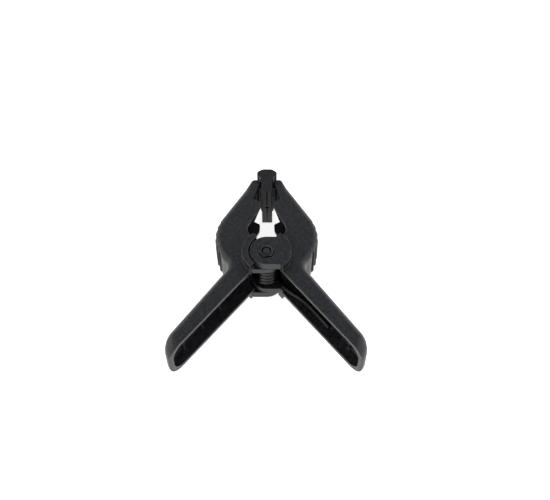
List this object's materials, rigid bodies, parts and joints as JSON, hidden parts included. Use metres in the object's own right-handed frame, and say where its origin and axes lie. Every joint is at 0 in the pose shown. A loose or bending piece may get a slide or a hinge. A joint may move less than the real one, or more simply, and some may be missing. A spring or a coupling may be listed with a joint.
{
  "type": "spring clamp",
  "caption": "Hand spring clamp: two moulded halves lapped at a bolted hinge, a torsion spring in the open between the ears, and a swivel pad on each jaw.",
  "frame": {"origin": "on the hinge axis, at the face of the bolt's head, on which the clamp rests", "axes": "+Z along the hinge axis, from the bolt's head to the nut; +Y towards the jaws' tips; +X towards the half that carries the nut"},
  "size_m": [0.0842, 0.0941, 0.0284],
  "materials": {
    "moulding": "black moulded nylon, satin, finely textured on the outer roundings",
    "fastener": "black oxide, dull",
    "spring_wire": "blackened spring steel, oiled",
    "pad": "black moulded plastic, slightly soft"
  },
  "bodies": {
    "left": {"left_half": "moulding", "pivot_bolt": "fastener", "torsion_spring": "spring_wire"},
    "right": {"right_half": "moulding", "hex_nut": "fastener"},
    "left_swivel": {"left_pad": "pad"},
    "right_swivel": {"right_pad": "pad"}
  },
  "joints": [
    {"name": "hinge", "type": "hinge", "parent": "left", "child": "right", "pos_m": [0, 0, 0.014], "axis": [0, 0, -1], "range_deg": [0, 50], "stiffness_Nm_per_rad": 1, "springref_deg": -57.3, "deforming": ["torsion_spring"]},
    {"name": "left_pad_swivel", "type": "hinge", "parent": "left", "child": "left_swivel", "pos_m": [-0.00534, 0.03977, 0.014], "axis": [0, 0, -1], "range_deg": [0, 25]},
    {"name": "right_pad_swivel", "type": "hinge", "parent": "right", "child": "right_swivel", "pos_m": [0.00534, 0.03977, 0.014], "axis": [0, 0, 1], "range_deg": [0, 25]}
  ],
  "couplings": [
    {"joint": "left_pad_swivel", "follows": "hinge", "ratio": 0.5},
    {"joint": "right_pad_swivel", "follows": "hinge", "ratio": 0.5}
  ]
}
